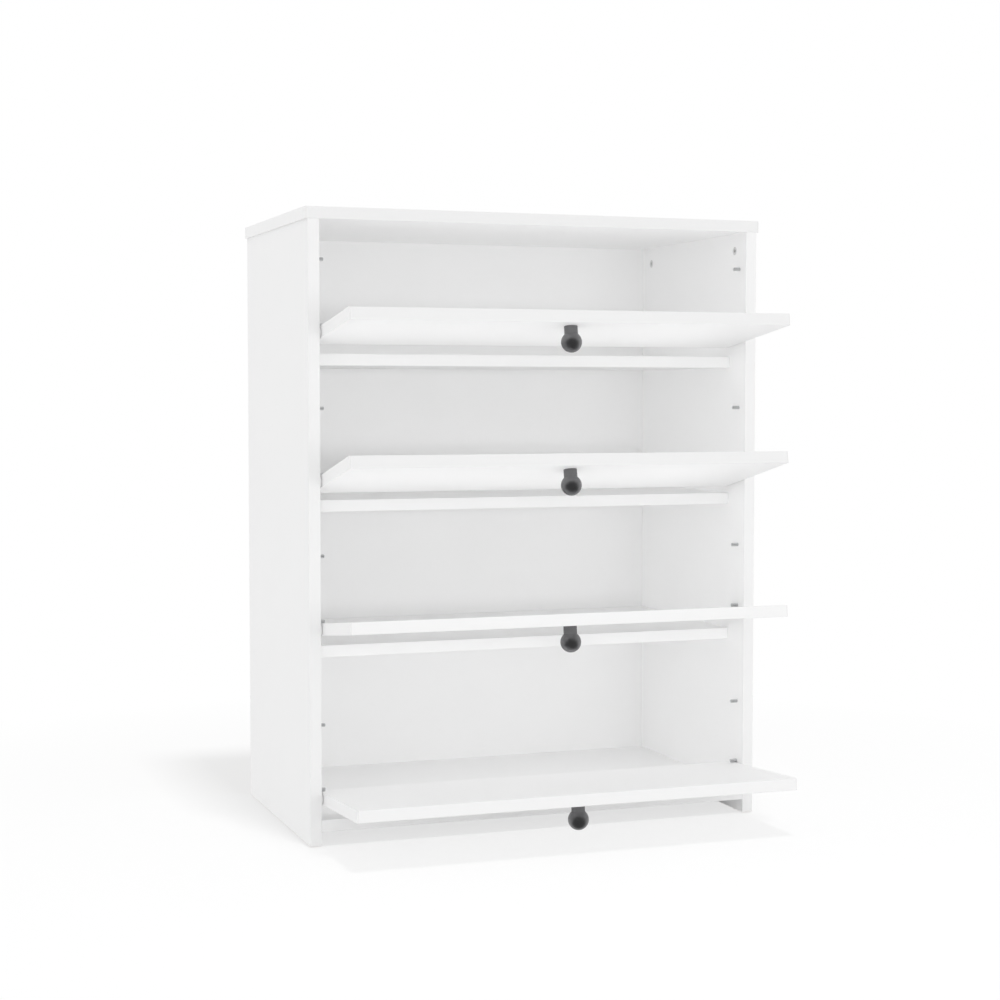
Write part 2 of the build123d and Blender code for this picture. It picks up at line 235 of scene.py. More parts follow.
# Beech: pale brown with short darker flecks along the grain, cut and left dull.
beech, tree, shader = new_material("beech")
coords = add(tree, "TexCoord")
fleck = (1 / GRAIN_LENGTH, 1 / GRAIN_WIDTH, 1 / GRAIN_WIDTH)
along = add(tree, "VectorMath", {0: coords.outputs["Object"], 1: fleck}, operation="MULTIPLY")
grain = add(tree, "TexNoise", {"Vector": along.outputs[0], "Scale": 1.0, "Detail": 4})
wood = add(tree, "Mix", {"Factor": grain.outputs["Fac"], "A": linear(BEECH_PALE), "B": linear(BEECH_BROWN)},
           data_type="RGBA")
tree.links.new(wood.outputs["Result"], shader.inputs["Base Color"])
shader.inputs["Roughness"].default_value = BEECH_ROUGH

for shelf in ("lower_shelf", "middle_shelf", "upper_shelf"):
    shape = bmesh.new()
    for low, high in solids(shelf + "_dowels"):
        length = high.x - low.x
        outline = [(0, 0), (0, DOWEL_RADIUS - DOWEL_CHAMFER), (DOWEL_CHAMFER, DOWEL_RADIUS),
                   (length - DOWEL_CHAMFER, DOWEL_RADIUS), (length, DOWEL_RADIUS - DOWEL_CHAMFER),
                   (length, 0)]
        end = Vector((low.x, (low.y + high.y) / 2, (low.z + high.z) / 2))
        turn(shape, outline, stand(end, (1, 0, 0)), steps=2 * FLUTES,
             cut=lambda height, angle: FLUTE_DEPTH * (round(angle * FLUTES / pi) % 2))
    finish_piece(shelf + "_fluted_dowels", shape, beech, "carcass", "beech", shelf + "_dowels")


# Cam bolts: zinc-plated steel. Each has a coarse thread that is driven into one board, a collar at the
# joint, and a thin shank with a head that the cam draws in. They hold the top and the bottom to the sides.
BOLT_THREAD = 11 * MM
BOLT_THREAD_RADIUS = 2.5 * MM
BOLT_THREAD_DEPTH = 0.7 * MM
BOLT_PITCH = 1.8 * MM
BOLT_LEAD_IN = 0.5 * MM
BOLT_JOIN = 0.2 * MM     # how far the collar is sunk over the end of the thread
BOLT_RADIUS = 3.5 * MM
BOLT_COLLAR = 2.5 * MM
BOLT_SHANK_RADIUS = 2.4 * MM
BOLT_TAPER = 2 * MM
BOLT_HEAD = 5 * MM
BOLT_CHAMFER = 1 * MM
BOLT_STEPS = 24
PLATE_MOTTLE = 4 * MM
ZINC_PALE = "#e0e0e0"
ZINC_BLUE = "#ced0d2"
ZINC_SMOOTH = 0.42
ZINC_ROUGH = 0.55


def threaded(start, end, radius, pitch, rings=8):
    """Outline points of a thread from one height to the next, close enough together for its flanks."""
    count = round(abs(end - start) / pitch * rings)
    return [(start + (end - start) * i / count, radius) for i in range(count + 1)]


def thread_cut(pitch, depth):
    """What a helical thread takes off the radius."""
    return lambda height, angle: depth * abs(2 * ((height / pitch - angle / (2 * pi)) % 1) - 1)


# Zinc plating: bright steel with a faint blue mottle and a soft polish.
zinc_plate, tree, shader = new_material("zinc_plated_steel")
coords = add(tree, "TexCoord")
mottle = add(tree, "TexNoise", {"Vector": coords.outputs["Object"], "Scale": 1 / PLATE_MOTTLE, "Detail": 3})
plate = add(tree, "Mix", {"Factor": mottle.outputs["Fac"], "A": linear(ZINC_PALE), "B": linear(ZINC_BLUE)},
            data_type="RGBA")
tree.links.new(plate.outputs["Result"], shader.inputs["Base Color"])
polish = add(tree, "MapRange", {"Value": mottle.outputs["Fac"], "To Min": ZINC_SMOOTH,
                                "To Max": ZINC_ROUGH})
tree.links.new(polish.outputs[0], shader.inputs["Roughness"])
shader.inputs["Metallic"].default_value = 1

bolt_cut = thread_cut(BOLT_PITCH, BOLT_THREAD_DEPTH)
for row in ("top", "bottom"):
    shape = bmesh.new()
    for low, high in solids(row + "_cam_bolts"):
        middle = (low + high) / 2
        if row == "top":
            tip, out = Vector((middle.x, middle.y, high.z)), (0, 0, -1)
        else:
            inwards = -1 if middle.x > 0 else 1
            tip, out = Vector((high.x if middle.x > 0 else low.x, middle.y, middle.z)), (inwards, 0, 0)
        length = max(high - low)
        head = length - BOLT_HEAD
        collar = BOLT_THREAD - BOLT_JOIN
        thread = [(0, 0), (0, BOLT_THREAD_RADIUS - BOLT_LEAD_IN)]
        thread += threaded(BOLT_LEAD_IN, collar, BOLT_THREAD_RADIUS, BOLT_PITCH)
        thread.append((BOLT_THREAD - BOLT_JOIN / 2, 0))
        turn(shape, thread, stand(tip, out), steps=BOLT_STEPS, cut=bolt_cut)
        shank = [(collar, 0), (collar, BOLT_RADIUS), (BOLT_THREAD + BOLT_COLLAR, BOLT_RADIUS),
                 (BOLT_THREAD + BOLT_COLLAR, BOLT_SHANK_RADIUS), (head - BOLT_TAPER, BOLT_SHANK_RADIUS),
                 (head, BOLT_RADIUS), (length - BOLT_CHAMFER, BOLT_RADIUS),
                 (length, BOLT_RADIUS - BOLT_CHAMFER), (length, 0)]
        turn(shape, shank, stand(tip, out), steps=BOLT_STEPS)
    finish_piece(row + "_threaded_bolts", shape, zinc_plate, "carcass", "zinc_plated_steel",
                 row + "_cam_bolts")


# Cam locks: die-cast zinc discs, 12 mm across, with a cross recess for the screwdriver. Half a turn draws
# the bolt in. The upper ones face inwards from the sides, and the lower ones are under the bottom.
CAST_GRAIN = 0.8 * MM
CAST_DEPTH = 0.05 * MM
CAST_STRENGTH = 0.4
CAST_GREY = "#e4e4e4"
CAST_DARK = "#d6d6d6"
CAST_SMOOTH = 0.42
CAST_ROUGH = 0.6
CAST_METAL = 0.4         # share of bare metal that shows through the oxide

# Die-cast zinc: pale grey and slightly grainy from the mould, under a skin of oxide that dulls its shine.
cast_zinc, tree, shader = new_material("die_cast_zinc")
coords = add(tree, "TexCoord")
skin = add(tree, "TexNoise", {"Vector": coords.outputs["Object"], "Scale": 1 / CAST_GRAIN, "Detail": 4})
grey = add(tree, "Mix", {"Factor": skin.outputs["Fac"], "A": linear(CAST_GREY), "B": linear(CAST_DARK)},
           data_type="RGBA")
tree.links.new(grey.outputs["Result"], shader.inputs["Base Color"])
dull = add(tree, "MapRange", {"Value": skin.outputs["Fac"], "To Min": CAST_SMOOTH, "To Max": CAST_ROUGH})
tree.links.new(dull.outputs[0], shader.inputs["Roughness"])
bump = add(tree, "Bump", {"Height": skin.outputs["Fac"], "Strength": CAST_STRENGTH, "Distance": CAST_DEPTH})
tree.links.new(bump.outputs[0], shader.inputs["Normal"])
shader.inputs["Metallic"].default_value = CAST_METAL
dress("top_cam_locks", cast_zinc)
dress("bottom_cam_locks", cast_zinc)


# Back: 3 mm hardboard slid into the rebate, lacquered white on the smooth side and bare behind, where the
# press left the print of its wire screen. Panel pins hold it to the sides, the top, the shelves and the
# bottom.
SCREEN = 4.0 * MM        # spacing of the wires, really about 1.2 mm, drawn coarser so that it shows
WAVE_BAND = pi / 10      # width of a wave texture's band at a scale of 1
PRINT_SHADE = 0.6
PRINT_DEPTH = 0.15 * MM
PRINT_STRENGTH = 0.5
FIBRE = 35 * MM          # clouds of matted fibre, with finer and finer ones in them
FIBRE_FINENESS = 0.72
FIBRE_LOW = 0.35
FIBRE_HIGH = 0.65
LACQUER_WHITE = "#f7f7f7"
LACQUER_SHADE = "#f4f4f4"
LACQUER_ROUGH = 0.45
HARDBOARD_BROWN = "#8f6e4b"
HARDBOARD_DARK = "#6b4e33"
HARDBOARD_ROUGH = 0.8
PIN_SHANK = 1 * MM       # length of the pin's shank that is modelled
PIN_SHANK_RADIUS = 0.8 * MM
PIN_TIP_RADIUS = 0.7 * MM
PIN_HEAD_RADIUS = 1.8 * MM
PIN_HEAD = 0.6 * MM
PIN_RIM = 0.3 * MM
PIN_SPACING = 110 * MM
PIN_EDGE = 4 * MM        # pins to the back panel's edges
PIN_CORNER = 20 * MM     # pins down a side to the back panel's corners

# Hardboard: white lacquer with a faint ripple in front, and brown fibre with a woven print behind.
hardboard, tree, shader = new_material("lacquered_hardboard")
coords = add(tree, "TexCoord")
ripple = add(tree, "TexNoise", {"Vector": coords.outputs["Object"], "Scale": 1 / PAPER_CLOUD, "Detail": 4})
lacquer = add(tree, "Mix", {"Factor": ripple.outputs["Fac"], "A": linear(LACQUER_WHITE),
                            "B": linear(LACQUER_SHADE)}, data_type="RGBA")
fibres = add(tree, "TexNoise", {"Vector": coords.outputs["Object"], "Scale": 1 / FIBRE, "Detail": 9,
                                "Roughness": FIBRE_FINENESS})
matted = add(tree, "MapRange", {"Value": fibres.outputs["Fac"], "From Min": FIBRE_LOW,
                                "From Max": FIBRE_HIGH})
brown = add(tree, "Mix", {"Factor": matted.outputs[0], "A": linear(HARDBOARD_BROWN),
                          "B": linear(HARDBOARD_DARK)}, data_type="RGBA")
wires = [add(tree, "TexWave", {"Vector": coords.outputs["Object"], "Scale": WAVE_BAND / SCREEN},
             bands_direction=axis).outputs["Fac"] for axis in ("X", "Z")]
woven = add(tree, "Math", {0: wires[0], 1: wires[1]}, operation="MULTIPLY")
shaded = add(tree, "Math", {0: woven.outputs[0], 1: PRINT_SHADE}, operation="MULTIPLY")
pressed = add(tree, "Mix", {"Factor": shaded.outputs[0], "A": brown.outputs["Result"],
                            "B": linear(HARDBOARD_DARK)}, data_type="RGBA")
facing = add(tree, "SeparateXYZ", {0: coords.outputs["Normal"]})
smooth_side = add(tree, "Math", {0: facing.outputs["Y"], 1: -SQUARE_ON}, operation="LESS_THAN")
sheet = add(tree, "Mix", {"Factor": smooth_side.outputs[0], "A": pressed.outputs["Result"],
                          "B": lacquer.outputs["Result"]}, data_type="RGBA")
tree.links.new(sheet.outputs["Result"], shader.inputs["Base Color"])
gloss = add(tree, "MapRange", {"Value": smooth_side.outputs[0], "To Min": HARDBOARD_ROUGH,
                               "To Max": LACQUER_ROUGH})
tree.links.new(gloss.outputs[0], shader.inputs["Roughness"])
relief = add(tree, "Mix", {"Factor": smooth_side.outputs[0], "A": woven.outputs[0],
                           "B": ripple.outputs["Fac"]}, data_type="FLOAT")
bump = add(tree, "Bump", {"Height": relief.outputs["Result"], "Strength": PRINT_STRENGTH,
                          "Distance": PRINT_DEPTH})
tree.links.new(bump.outputs[0], shader.inputs["Normal"])
dress("back_panel", hardboard)


def spaced(start, end, spacing):
    """Places from start to end, evenly spaced at about the given distance."""
    count = round((end - start) / spacing)
    return [start + (end - start) * i / count for i in range(count + 1)]


back_low, back_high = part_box("back_panel")
pin_places = []
for x in (back_low.x + PIN_EDGE, back_high.x - PIN_EDGE):
    heights = spaced(back_low.z + PIN_CORNER, back_high.z - PIN_CORNER, PIN_SPACING)
    pin_places += [(x, z) for z in heights]
rows = [back_high.z - PIN_EDGE]
for board in ("bottom_panel", "lower_shelf", "middle_shelf", "upper_shelf"):
    low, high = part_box(board)
    rows.append((low.z + high.z) / 2)
for z in rows:
    reach = back_high.x - PIN_SPACING / 2
    pin_places += [(x, z) for x in spaced(-reach, reach, PIN_SPACING)]
pin_outline = [(-PIN_SHANK, 0), (-PIN_SHANK, PIN_TIP_RADIUS), (0, PIN_SHANK_RADIUS)]
pin_outline.append((0, PIN_HEAD_RADIUS))
for angle in (0, pi / 4):
    pin_outline.append((PIN_RIM + (PIN_HEAD - PIN_RIM) * sin(angle), PIN_HEAD_RADIUS * cos(angle)))
pin_outline.append((PIN_HEAD, 0))
shape = bmesh.new()
for x, z in pin_places:
    turn(shape, pin_outline, stand((x, back_high.y, z), (0, 1, 0)), steps=16)
finish_piece("back_panel_pins", shape, zinc_plate, "carcass", "zinc_plated_steel")


# Top: the same board, laid on the sides and 3 mm wider at each end. Its front and both ends have a strip,
# its rear edge is left as sawn, and cam bolts draw it down onto the sides.
face_with_melamine("top_panel", [("X", "both"), ("Y", "front")], sawn=[(0, 1, 0)])


# Floor glides: white nylon pads, nailed under the sides to keep their sawn ends off the floor.
# Each has a rounded rim and a dimple for its nail.
GLIDE_FLAT = 0.6         # share of the radius that is flat underneath
GLIDE_ROUND = 0.7        # share of the height that the rounded rim takes
DIMPLE = 0.6 * MM
DIMPLE_RADIUS = 1.7 * MM
DIMPLE_RIM = 2.2 * MM
NYLON_CLOUD = 6 * MM
NYLON_WHITE = "#f0f0f0"
NYLON_SHADE = "#e8e8e8"
NYLON_SMOOTH = 0.36
NYLON_ROUGH = 0.46
NYLON_IOR = 1.53


def quarter_round(steps):
    """The points of a round edge of radius 1: how far each lies from the end and in from the rim."""
    angles = [pi / 2 * i / steps for i in range(steps + 1)]
    return [(1 - cos(angle), 1 - sin(angle)) for angle in angles]


# Nylon: moulded, slightly milky white with a waxy sheen.
nylon, tree, shader = new_material("moulded_nylon")
coords = add(tree, "TexCoord")
milk = add(tree, "TexNoise", {"Vector": coords.outputs["Object"], "Scale": 1 / NYLON_CLOUD, "Detail": 2})
white = add(tree, "Mix", {"Factor": milk.outputs["Fac"], "A": linear(NYLON_WHITE),
                          "B": linear(NYLON_SHADE)}, data_type="RGBA")
tree.links.new(white.outputs["Result"], shader.inputs["Base Color"])
waxy = add(tree, "MapRange", {"Value": milk.outputs["Fac"], "To Min": NYLON_SMOOTH, "To Max": NYLON_ROUGH})
tree.links.new(waxy.outputs[0], shader.inputs["Roughness"])
shader.inputs["IOR"].default_value = NYLON_IOR

for side in ("left", "right"):
    shape = bmesh.new()
    for low, high in solids(side + "_floor_glides"):
        rim = (high.x - low.x) / 2
        height = high.z - low.z
        outline = [(DIMPLE, 0), (DIMPLE, DIMPLE_RADIUS), (0, DIMPLE_RIM)]
        for drop, inset in quarter_round(steps=3):
            outline.append((GLIDE_ROUND * height * drop, rim * (1 - (1 - GLIDE_FLAT) * inset)))
        outline += [(height, rim), (height, 0)]
        foot = ((low.x + high.x) / 2, (low.y + high.y) / 2, low.z)
        turn(shape, outline, stand(foot, (0, 0, 1)))
    finish_piece(side + "_nylon_glides", shape, nylon, "carcass", "white_nylon", side + "_floor_glides")


# Pivot bushes: nylon sleeves pressed into the sides. The flaps' pins turn in them, and a rounded flange
# keeps the ends of the flaps off the sides.
BUSH_BORE = 3.05 * MM
BUSH_LEAD_IN = 0.4 * MM
BUSH_WALL = 1.5 * MM
BUSH_RADIUS = 5 * MM
BUSH_ROUND = 0.6 * MM
FLANGE = 2 * MM

for side in ("left", "right"):
    shape = bmesh.new()
    for low, high in solids(side + "_pivot_bushes"):
        out = Vector((1 if side == "left" else -1, 0, 0))
        rim = (high.z - low.z) / 2
        depth = high.x - low.x - FLANGE
        board_face = high.x - FLANGE if side == "left" else low.x + FLANGE
        outline = [(BUSH_WALL - depth, 0), (BUSH_WALL - depth, BUSH_BORE),
                   (FLANGE - BUSH_LEAD_IN, BUSH_BORE), (FLANGE, BUSH_BORE + BUSH_LEAD_IN)]
        for drop, inset in quarter_round(steps=2):
            outline.append((FLANGE - BUSH_ROUND * drop, rim - BUSH_ROUND * inset))
        outline += [(0, rim), (0, BUSH_RADIUS), (BUSH_ROUND - depth, BUSH_RADIUS),
                    (-depth, BUSH_RADIUS - BUSH_ROUND), (-depth, 0)]
        turn(shape, outline, stand((board_face, (low.y + high.y) / 2, (low.z + high.z) / 2), out))
    finish_piece(side + "_nylon_bushes", shape, nylon, "carcass", "white_nylon", side + "_pivot_bushes")


# Stop pins: turned steel pins, 5 mm thick, pressed into the sides with their rounded ends out. In each
# compartment a low pin holds the open flap up, and a high one stops it where it leans shut.
STOP_ROUND = 1.2 * MM


def rounded_pin(shape, low, high, radius, rounding):
    """A turned pin along X with rounded ends, in the box of its CAD solid."""
    length = high.x - low.x
    tip = [(rounding * drop, radius - rounding * inset) for drop, inset in quarter_round(steps=4)]
    outline = [(0, 0)] + tip + [(length - height, r) for height, r in reversed(tip)] + [(length, 0)]
    turn(shape, outline, stand((low.x, (low.y + high.y) / 2, (low.z + high.z) / 2), (1, 0, 0)))


for side in ("left", "right"):
    for kind in ("opening_stops", "closing_stops"):
        node = f"{side}_{kind}"
        shape = bmesh.new()
        for low, high in solids(node):
            rounded_pin(shape, low, high, (high.z - low.z) / 2, STOP_ROUND)
        finish_piece(node + "_turned", shape, zinc_plate, "carcass", "zinc_plated_steel", node)


# Flaps: four fronts of the same board, with a strip on all four edges. Each hangs on a steel pin in each
# end, 27 mm above the floor of its compartment, so that its short lower end swings in as the front drops
# open.
PIVOT_ROUND = 0.8 * MM
FLAPS = ("top", "upper", "lower", "bottom")


def flap_out(flap):
    """The direction that an open flap's outer face looks in, from the largest face that looks down."""
    polygons = [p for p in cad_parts[flap + "_flap"].data.polygons if p.normal.z < 0]
    return max(polygons, key=lambda polygon: polygon.area).normal.normalized()


for flap in FLAPS:
    node = flap + "_flap"
    low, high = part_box(node)
    out = flap_out(flap)
    length_way = Vector((0, out.z, -out.y))
    corners = [vertex.co - (low + high) / 2 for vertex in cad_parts[node].data.vertices]
    reach = max(abs(corner.dot(length_way)) for corner in corners)
    thickness = max(abs(corner.dot(out)) for corner in corners)
    half = Vector(((high.x - low.x) / 2, reach, thickness))
    face_with_melamine(node, [("X", "both"), ("Y", "both")], half=half, tilt=asin(-out.y))
    shape = bmesh.new()
    for low, high in solids(flap + "_pivot_pins"):
        rounded_pin(shape, low, high, (high.z - low.z) / 2, PIVOT_ROUND)
    finish_piece(flap + "_turned_pins", shape, zinc_plate, flap + "_flap_unit", "zinc_plated_steel",
                 flap + "_pivot_pins")


# Knobs: balls on a straight neck, turned from steel and plated with black nickel. Each stands in the middle
# of its flap, near the free edge, on a threaded stud that is screwed into the board.
KNOB_BALL = 13.75 * MM
KNOB_NECK = 8.9 * MM
KNOB_LENGTH = 35 * MM
KNOB_BLEND = 2.5 * MM    # hollow between the neck and the ball
KNOB_CHAMFER = 0.3 * MM
KNOB_STEPS = 64
BLEND_STEPS = 6
BALL_STEPS = 32
STUD_RADIUS = 2 * MM
STUD_PITCH = 0.7 * MM
STUD_THREAD_DEPTH = 0.35 * MM
STUD_LEAD_IN = 0.4 * MM
STUD_IN_KNOB = 14 * MM
STUD_IN_FLAP = 11 * MM
NICKEL_CLOUD = 5 * MM
NICKEL_GRAIN = 0.6 * MM
NICKEL_DEPTH = 0.01 * MM
NICKEL_STRENGTH = 0.2
POLISHED_GREY = "#828284"
POLISHED_DEEP = "#7a7a7b"
DULL_GREY = "#747476"
DULL_DEEP = "#6c6c6d"


def black_nickel(finish, pale, deep, metallic, smooth, rough):
    """Black nickel: a dark grey plating with a faint unevenness. On the polished ball it mirrors its
    surroundings softly, with a dark middle, and on the neck, left dull, it is an even grey."""
    material, tree, shader = new_material(finish + "_black_nickel")
    coords = add(tree, "TexCoord")
    plating = add(tree, "TexNoise", {"Vector": coords.outputs["Object"], "Scale": 1 / NICKEL_CLOUD,
                                     "Detail": 2})
    nickel = add(tree, "Mix", {"Factor": plating.outputs["Fac"], "A": linear(pale), "B": linear(deep)},
                 data_type="RGBA")
    tree.links.new(nickel.outputs["Result"], shader.inputs["Base Color"])
    ground = add(tree, "TexNoise", {"Vector": coords.outputs["Object"], "Scale": 1 / NICKEL_GRAIN,
                                    "Detail": 2})
    polish = add(tree, "MapRange", {"Value": ground.outputs["Fac"], "To Min": smooth, "To Max": rough})
    tree.links.new(polish.outputs[0], shader.inputs["Roughness"])
    bump = add(tree, "Bump", {"Height": ground.outputs["Fac"], "Strength": NICKEL_STRENGTH,
                              "Distance": NICKEL_DEPTH})
    tree.links.new(bump.outputs[0], shader.inputs["Normal"])
    shader.inputs["Metallic"].default_value = metallic
    return material


dull_nickel = black_nickel("dull", DULL_GREY, DULL_DEEP, metallic=0, smooth=0.55, rough=0.7)
polished_nickel = black_nickel("polished", POLISHED_GREY, POLISHED_DEEP, metallic=1, smooth=0.36,
                               rough=0.42)

ball_middle = KNOB_LENGTH - KNOB_BALL
blend_rise = sqrt((KNOB_BALL + KNOB_BLEND) ** 2 - (KNOB_NECK + KNOB_BLEND) ** 2)
blend_angle = asin(blend_rise / (KNOB_BALL + KNOB_BLEND))
knob_outline = [(STUD_IN_KNOB, 0), (STUD_IN_KNOB, STUD_RADIUS), (0, STUD_RADIUS),
                (0, KNOB_NECK - KNOB_CHAMFER), (KNOB_CHAMFER, KNOB_NECK)]
for i in range(BLEND_STEPS + 1):
    angle = blend_angle * i / BLEND_STEPS
    knob_outline.append((ball_middle - blend_rise + KNOB_BLEND * sin(angle),
                         KNOB_NECK + KNOB_BLEND * (1 - cos(angle))))
neck_bands = len(knob_outline) - 1
for i in range(1, BALL_STEPS):
    angle = -blend_angle + (pi / 2 + blend_angle) * i / BALL_STEPS
    knob_outline.append((ball_middle + KNOB_BALL * sin(angle), KNOB_BALL * cos(angle)))
knob_outline.append((KNOB_LENGTH, 0))
stud_outline = [(-STUD_IN_FLAP, 0), (-STUD_IN_FLAP, STUD_RADIUS - STUD_LEAD_IN)]
stud_outline += threaded(STUD_LEAD_IN - STUD_IN_FLAP, STUD_IN_KNOB - STUD_LEAD_IN, STUD_RADIUS, STUD_PITCH)
stud_outline += [(STUD_IN_KNOB, STUD_RADIUS - STUD_LEAD_IN), (STUD_IN_KNOB, 0)]

for flap in FLAPS:
    body = flap + "_flap_unit"
    out = flap_out(flap)
    low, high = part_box(flap + "_knob_stud")
    seat = (low + high) / 2 - out * (STUD_IN_KNOB - STUD_IN_FLAP) / 2
    shape = bmesh.new()
    turn(shape, knob_outline, stand(seat, out), steps=KNOB_STEPS)
    shape.faces.ensure_lookup_table()
    for face in shape.faces[neck_bands * KNOB_STEPS:]:
        face.material_index = 1
    knob = finish_piece(flap + "_ball_knob", shape, dull_nickel, body, "black_knob", flap + "_knob")
    knob.data.materials.append(polished_nickel)
    shape = bmesh.new()
    turn(shape, stud_outline, stand(seat, out), steps=20, cut=thread_cut(STUD_PITCH, STUD_THREAD_DEPTH))
    finish_piece(flap + "_threaded_stud", shape, zinc_plate, body, "zinc_plated_steel", flap + "_knob_stud")


# Studio: a white paper floor that fades into white surroundings, which metal sees dim ahead, where the room
# is. The eye sees one sheet, which keeps the soft shadow of the lamps overhead and is clear from below.
# A second sheet under it gives light back to the boards.
FLOOR_HALF = 8.0
FLOOR_SHADE = 0.149      # white that the light falls on, thin enough for a faint shadow
FLOOR_GLOW = 0.702       # the rest, so that the open floor is white
FADE_FROM = 0.6          # distances from the middle over which the floor fades into plain white
FADE_TO = 1.2
REFLECTOR_DROP = 0.5 * MM
REFLECTOR_WHITE = "#e7e7e7"
REFLECTOR_ROUGH = 0.9
REFLECTOR_GLOW = 0.14
REFLECTOR_TUCK = 0.04    # how far the glow reaches in under the front and the back
AROUND = 0.94            # light from the surroundings; the eye and metal see them as white
DIM = 0.16               # the dim room ahead, as metal sees it
DIM_FRONT = (-0.24, -0.85, -0.45)
DIM_EDGE = -0.15         # cosines from that direction between which the dimness comes on
DIM_CORE = 0.5


def floor_sheet(name, height):
    """A wide flat sheet under the cabinet, with a new material."""
    mesh = bpy.data.meshes.new(name)
    corners = [(FLOOR_HALF * x, FLOOR_HALF * y, height) for x, y in ((-1, -1), (1, -1), (1, 1), (-1, 1))]
    mesh.from_pydata(corners, [], [(0, 1, 2, 3)])
    sheet = bpy.data.objects.new(name, mesh)
    bpy.context.scene.collection.objects.link(sheet)
    material, tree, shader = new_material("studio_" + name)
    mesh.materials.append(material)
    return sheet, tree, shader


floor, tree, shader = floor_sheet("floor", 0)
floor.visible_diffuse = False
floor.visible_glossy = False
floor.visible_shadow = False
shade = add(tree, "BsdfDiffuse", {"Color": (FLOOR_SHADE, FLOOR_SHADE, FLOOR_SHADE, 1)})
glow = add(tree, "Emission", {"Strength": FLOOR_GLOW})
near = add(tree, "AddShader", {0: shade.outputs[0], 1: glow.outputs[0]})
far = add(tree, "Emission", {"Strength": 1.0})
coords = add(tree, "TexCoord")
away = add(tree, "VectorMath", {0: coords.outputs["Object"]}, operation="LENGTH")
fade = add(tree, "MapRange", {"Value": away.outputs["Value"], "From Min": FADE_FROM, "From Max": FADE_TO})
paper = add(tree, "MixShader", {0: fade.outputs[0], 1: near.outputs[0], 2: far.outputs[0]})
below = add(tree, "NewGeometry")
clear = add(tree, "BsdfTransparent")
sheet = add(tree, "MixShader", {0: below.outputs["Backfacing"], 1: paper.outputs[0], 2: clear.outputs[0]})
tree.links.new(sheet.outputs[0], tree.nodes["Material Output"].inputs["Surface"])
floor.data.materials[0].cycles.emission_sampling = "NONE"

reflector, tree, shader = floor_sheet("reflector", -REFLECTOR_DROP)
reflector.visible_camera = False
reflector.visible_glossy = False
shader.inputs["Base Color"].default_value = linear(REFLECTOR_WHITE)
shader.inputs["Roughness"].default_value = REFLECTOR_ROUGH
low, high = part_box("left_side_panel")
footprint = (0, (low.y + high.y) / 2, 0)
inside = (high.y - low.y) / 2 - REFLECTOR_TUCK
coords = add(tree, "TexCoord")
under = add(tree, "VectorMath", {0: coords.outputs["Object"], 1: footprint}, operation="SUBTRACT")
apart = add(tree, "VectorMath", {0: under.outputs[0]}, operation="ABSOLUTE")
aside = add(tree, "SeparateXYZ", {0: apart.outputs[0]})
beside = add(tree, "Math", {0: aside.outputs["X"], 1: -low.x}, operation="GREATER_THAN")
before = add(tree, "Math", {0: aside.outputs["Y"], 1: inside}, operation="GREATER_THAN")
outside = add(tree, "Math", {0: beside.outputs[0], 1: before.outputs[0]}, operation="MAXIMUM")
lift = add(tree, "Math", {0: outside.outputs[0], 1: REFLECTOR_GLOW}, operation="MULTIPLY")
shader.inputs["Emission Color"].default_value = (1, 1, 1, 1)
tree.links.new(lift.outputs[0], shader.inputs["Emission Strength"])

world = bpy.data.worlds.new("studio")
bpy.context.scene.world = world
world.use_nodes = True
tree = world.node_tree
path = add(tree, "LightPath")
seen = add(tree, "Math", {0: path.outputs["Is Camera Ray"], 1: path.outputs["Is Transmission Ray"]},
           operation="MAXIMUM")
white = add(tree, "Mix", {"Factor": seen.outputs[0], "A": AROUND, "B": 1.0}, data_type="FLOAT")
way = add(tree, "TexCoord")
ahead = add(tree, "VectorMath", {0: way.outputs["Generated"], 1: Vector(DIM_FRONT).normalized()},
            operation="DOT_PRODUCT")
mirrored = add(tree, "MapRange", {"Value": ahead.outputs["Value"], "From Min": DIM_EDGE,
                                  "From Max": DIM_CORE, "To Min": 1.0, "To Max": DIM},
               interpolation_type="SMOOTHSTEP")
level = add(tree, "Mix", {"Factor": path.outputs["Is Glossy Ray"], "A": white.outputs["Result"],
                          "B": mirrored.outputs[0]}, data_type="FLOAT")
sky = tree.nodes["Background"]
sky.inputs["Color"].default_value = (1, 1, 1, 1)
tree.links.new(level.outputs["Result"], sky.inputs["Strength"])


# Lamps: the two overhead only draw the shadow on the floor. The weak fills lift the shade inside and under
# the flaps, each on the boards that it names, as reflectors round the cabinet would. White board passes
# light on many times, so more bounces are followed than by default.
OVERHEAD = {"place": (0, -1.6, 5.2), "target": (0, -0.1, 0), "size": (0.6, 0.6)}
FRONT_RIGHT = {"place": (0.9, -3.2, 0.45), "target": (0, 0, 0.45), "size": (1.2, 1.2)}
FRONT_LEFT = {"place": (-0.9, -3.2, 0.45), "target": (0, 0, 0.45), "size": (1.2, 1.2)}
DIFFUSE_BOUNCES = 16
ALL_BOUNCES = 20


